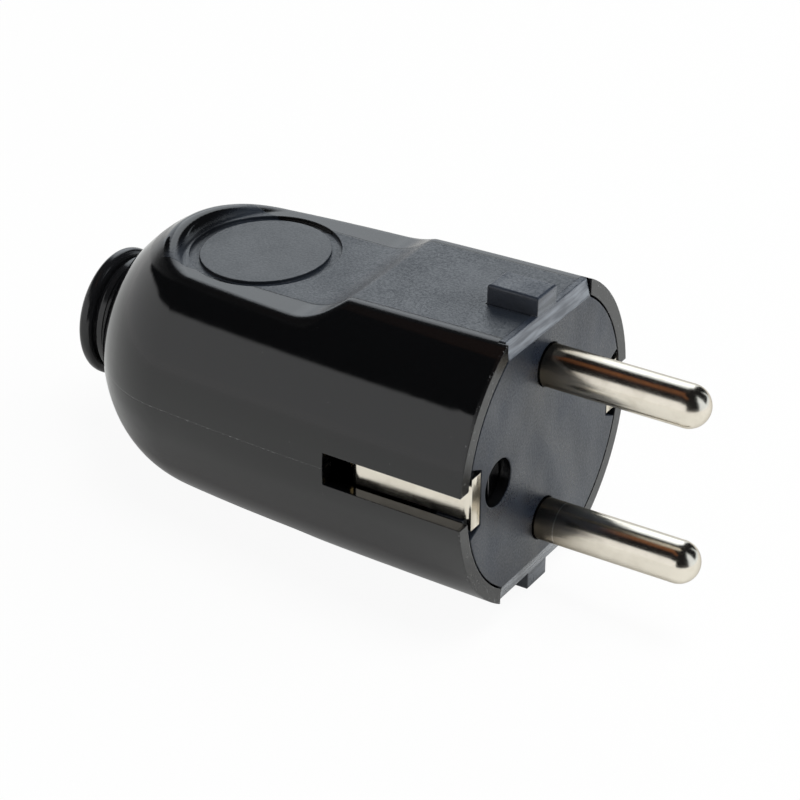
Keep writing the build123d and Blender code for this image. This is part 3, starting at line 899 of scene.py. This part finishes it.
@dataclass
class EarthContacts(SubAssembly):
    """Side strips and the terminal that joins them."""

    def pieces(self) -> dict[str, Slot]:
        """Strips, bridge, rivets and terminal."""
        return {
            "near_earth_strip": Slot.PLATED,
            "far_earth_strip": Slot.PLATED,
            "earth_bridge": Slot.BRASS,
            "earth_rivets": Slot.BRASS,
            "earth_terminal_block": Slot.BRASS,
            "earth_clamp_washer": Slot.ZINC,
            "earth_terminal_screw": Slot.ZINC,
        }


@dataclass
class CaseFastening(SubAssembly):
    """Screw that holds carrier and housing together."""

    def pieces(self) -> dict[str, Slot]:
        """Screw, washer and threaded insert."""
        return {"case_screw": Slot.DARK_STEEL, "case_washer": Slot.DARK_STEEL, "case_insert": Slot.BRASS}


@dataclass
class CordAnchorage(SubAssembly):
    """Clamp for the cord and the bush it leaves through."""

    def pieces(self) -> dict[str, Slot]:
        """Clamp bar, its screws and the grommet."""
        return {"cord_clamp_bar": Slot.INNER, "cord_clamp_screws": Slot.ZINC, "cable_grommet": Slot.RUBBER}


@dataclass(frozen=True)
class SoftBox:
    """A square lamp that points at the plug, with place and side in metres and power in watts."""

    name: str
    place: Triple
    side: float
    power: float
    mirrored: bool = False
    colour: Colour = (0.94, 0.98, 1.0)

    def hang(self) -> None:
        """Add the lamp to the scene."""
        lamp = bpy.data.lights.new(self.name, "AREA")
        lamp.size = self.side
        lamp.energy = self.power
        lamp.color = self.colour
        holder = bpy.data.objects.new(self.name, lamp)
        holder.location = self.place
        holder.rotation_euler = (-Vector(self.place)).to_track_quat("-Z", "Y").to_euler()
        holder.visible_glossy = self.mirrored
        bpy.context.scene.collection.objects.link(holder)


@dataclass
class Studio:
    """White table, soft boxes and pale screens under a dark roof; lengths in metres, angles in degrees."""

    floor_half: float = 2.5
    floor_colour: Colour = (0.92, 0.9, 0.86)
    camera_share: float = 0.94
    mirror_share: float = 0.25
    near: float = 0.055
    far: float = 0.28
    screen_colour: Colour = (0.98, 0.985, 0.99)
    screen_fade: float = 1.2
    cool_colour: Colour = (0.9, 0.97, 1.04)
    cool_middle: float = 65.0
    cool_half: float = 85.0
    cool_fade: float = 5.0
    dark_colour: Colour = (0.01, 0.01, 0.0105)
    beam_colour: Colour = (0.22, 0.09, 0.04)
    beam_middle: float = -135.0
    beam_half: float = 42.0
    beam_fade: float = 6.0
    beam_rise: float = 60.5
    beam_thick: float = 3.0
    beam_soft: float = 1.5
    skyline: tuple[Span, ...] = (
        (-180.0, 17.0), (-168.0, 23.0), (-145.0, 28.0), (-84.0, 28.0), (-78.0, 0.0), (-14.0, 0.0),
        (-8.0, 48.0), (20.0, 66.0), (28.0, 12.0), (66.0, 12.0), (71.0, 42.0), (76.0, 0.0), (99.0, 0.0),
        (103.0, 55.0), (138.0, 53.0), (147.0, 9.0), (165.0, 8.0), (180.0, 17.0),
    )
    boxes: tuple[SoftBox, ...] = (
        SoftBox("top_box", (0.12, 0.0, 0.9), 0.45, 5.0),
        SoftBox("side_box", (0.5, 0.33, 0.42), 0.5, 2.6),
        SoftBox("back_box", (-0.315, 0.525, 0.36), 0.4, 0.42, mirrored=True),
    )

    def build(self) -> None:
        """Set up floor, surroundings and lamps."""
        self._floor()
        self._surroundings()
        for box in self.boxes:
            box.hang()
        LOG.info("studio ready")

    def _floor(self) -> None:
        """Lay the table top."""
        half = self.floor_half
        mesh = bpy.data.meshes.new("table_top")
        corners = [(-half, -half, 0), (half, -half, 0), (half, half, 0), (-half, half, 0)]
        mesh.from_pydata(corners, [], [(0, 1, 2, 3)])
        floor = bpy.data.objects.new("table_top", mesh)
        bpy.context.scene.collection.objects.link(floor)
        mesh.materials.append(self._paper())

    def _paper(self) -> bpy.types.Material:
        """Make a paper that is white to the camera and in reflections, and takes the shadow.

        Returns:
            The material.
        """
        material = bpy.data.materials.new("table_white")
        material.use_nodes = True
        material.node_tree.nodes.clear()
        bench = Bench(material.node_tree)
        path = bench.add("ShaderNodeLightPath").outputs
        seen = bench.calc("MULTIPLY", path["Is Camera Ray"], self.camera_share)
        mirrored = bench.calc("MAXIMUM", path["Is Glossy Ray"], path["Is Transmission Ray"])
        place = bench.add("ShaderNodeTexCoord").outputs["Object"]
        distance = bench.vector("LENGTH", place).outputs["Value"]
        clean = bench.ramp(distance, self.near, self.far, self.mirror_share, 1.0)
        share = bench.calc("MAXIMUM", seen, bench.calc("MULTIPLY", mirrored, clean))
        paper = bench.add("ShaderNodeBsdfDiffuse", {"Color": (*self.floor_colour, 1.0)})
        white = bench.add("ShaderNodeEmission", {"Color": (*WHITE, 1.0), "Strength": 1.0})
        mix = bench.add("ShaderNodeMixShader", {0: share, 1: paper.outputs[0], 2: white.outputs[0]})
        bench.add("ShaderNodeOutputMaterial", {"Surface": mix.outputs[0]})
        return material

    def _surroundings(self) -> None:
        """Stand white screens of different height round the table, under a dark roof with a warm beam."""
        world = bpy.data.worlds.new("surroundings")
        bpy.context.scene.world = world
        world.use_nodes = True
        world.node_tree.nodes.clear()
        bench = Bench(world.node_tree)
        direction = bench.add("ShaderNodeTexCoord").outputs["Generated"]
        ray = bench.add("ShaderNodeSeparateXYZ", {0: direction}).outputs
        rise = bench.calc("DEGREES", bench.calc("ARCSINE", ray["Z"]))
        heading = bench.calc("DEGREES", bench.calc("ARCTAN2", ray["Y"], ray["X"]))
        above = bench.calc("SUBTRACT", rise, self._screen_tops(bench, heading))
        screens = bench.ramp(above, self.screen_fade, -self.screen_fade)
        beam = bench.product(bench.band(rise, self.beam_rise, self.beam_thick, self.beam_soft),
                             bench.band(heading, self.beam_middle, self.beam_half, self.beam_fade))
        roof = bench.tint(beam, self.dark_colour, self.beam_colour)
        cool = bench.band(heading, self.cool_middle, self.cool_half, self.cool_fade)
        tone = bench.tint(screens, roof, bench.tint(cool, self.screen_colour, self.cool_colour))
        light = bench.add("ShaderNodeBackground", {"Color": tone, "Strength": 1.0})
        bench.add("ShaderNodeOutputWorld", {"Surface": light.outputs[0]})

    def _screen_tops(self, bench: Bench, heading: Socket) -> Socket:
        """Look up how high the screens stand.

        Args:
            bench: Where the nodes go.
            heading: Heading in degrees.

        Returns:
            The rise of the screens' upper edge at that heading, in degrees.
        """
        turn = bench.calc("DIVIDE", bench.calc("ADD", heading, HALF_TURN), FULL_TURN)
        skyline = bench.add("ShaderNodeValToRGB", {"Fac": turn})
        elements = skyline.color_ramp.elements
        while len(elements) < len(self.skyline):
            elements.new(1.0)
        for element, (place, height) in zip(elements, self.skyline):
            element.position = (place + HALF_TURN) / FULL_TURN
            element.color = (height / ZENITH, height / ZENITH, height / ZENITH, 1.0)
        return bench.calc("MULTIPLY", skyline.outputs["Color"], ZENITH)


@dataclass
class PhotoCamera:
    """Camera at the photograph's place, in the plug's axes in millimetres, with its roll in degrees."""

    eye: Triple = (131.93, -247.26, 161.66)
    aim: Triple = (-18.39, 0.0, -0.43)
    roll: float = -0.73
    lens: float = 135.43
    sensor: float = 36.0
    nearest: float = 10.0

    def build(self, axes: PlugAxes) -> None:
        """Place the camera and make it the scene's own.

        Args:
            axes: The plug's axes.
        """
        eye, aim = axes.point(*self.eye), axes.point(*self.aim)
        forward = (aim - eye).normalized()
        level = forward.cross(axes.columns[2]).normalized()
        upright = level.cross(forward)
        cosine, sine = math.cos(math.radians(self.roll)), math.sin(math.radians(self.roll))
        right, up = level * cosine - upright * sine, upright * cosine + level * sine
        data = bpy.data.cameras.new("photo_camera")
        data.lens = self.lens
        data.sensor_width = self.sensor
        data.clip_start = self.nearest * MM
        holder = bpy.data.objects.new("photo_camera", data)
        holder.matrix_world = Matrix.Translation(eye) @ Matrix((right, up, -forward)).transposed().to_4x4()
        bpy.context.scene.collection.objects.link(holder)
        bpy.context.scene.camera = holder
        LOG.info("camera at %.4f %.4f %.4f", *eye)


def main() -> None:
    """Dress every piece, then set up the studio and the camera."""
    logging.basicConfig(level=logging.INFO, format="%(name)s: %(message)s")
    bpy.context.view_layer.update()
    axes = PlugAxes.from_record(frame["record"])
    effects = Effects(axes)
    finishes = {finish.slot: finish.build(effects) for finish in FINISHES}
    for kind in (Housing, FrontInsert, Pins, EarthContacts, CaseFastening, CordAnchorage):
        kind(finishes).dress()
    Studio().build()
    PhotoCamera().build(axes)
    bpy.context.scene.view_settings.view_transform = "Standard"


if __name__ == "__main__":
    main()
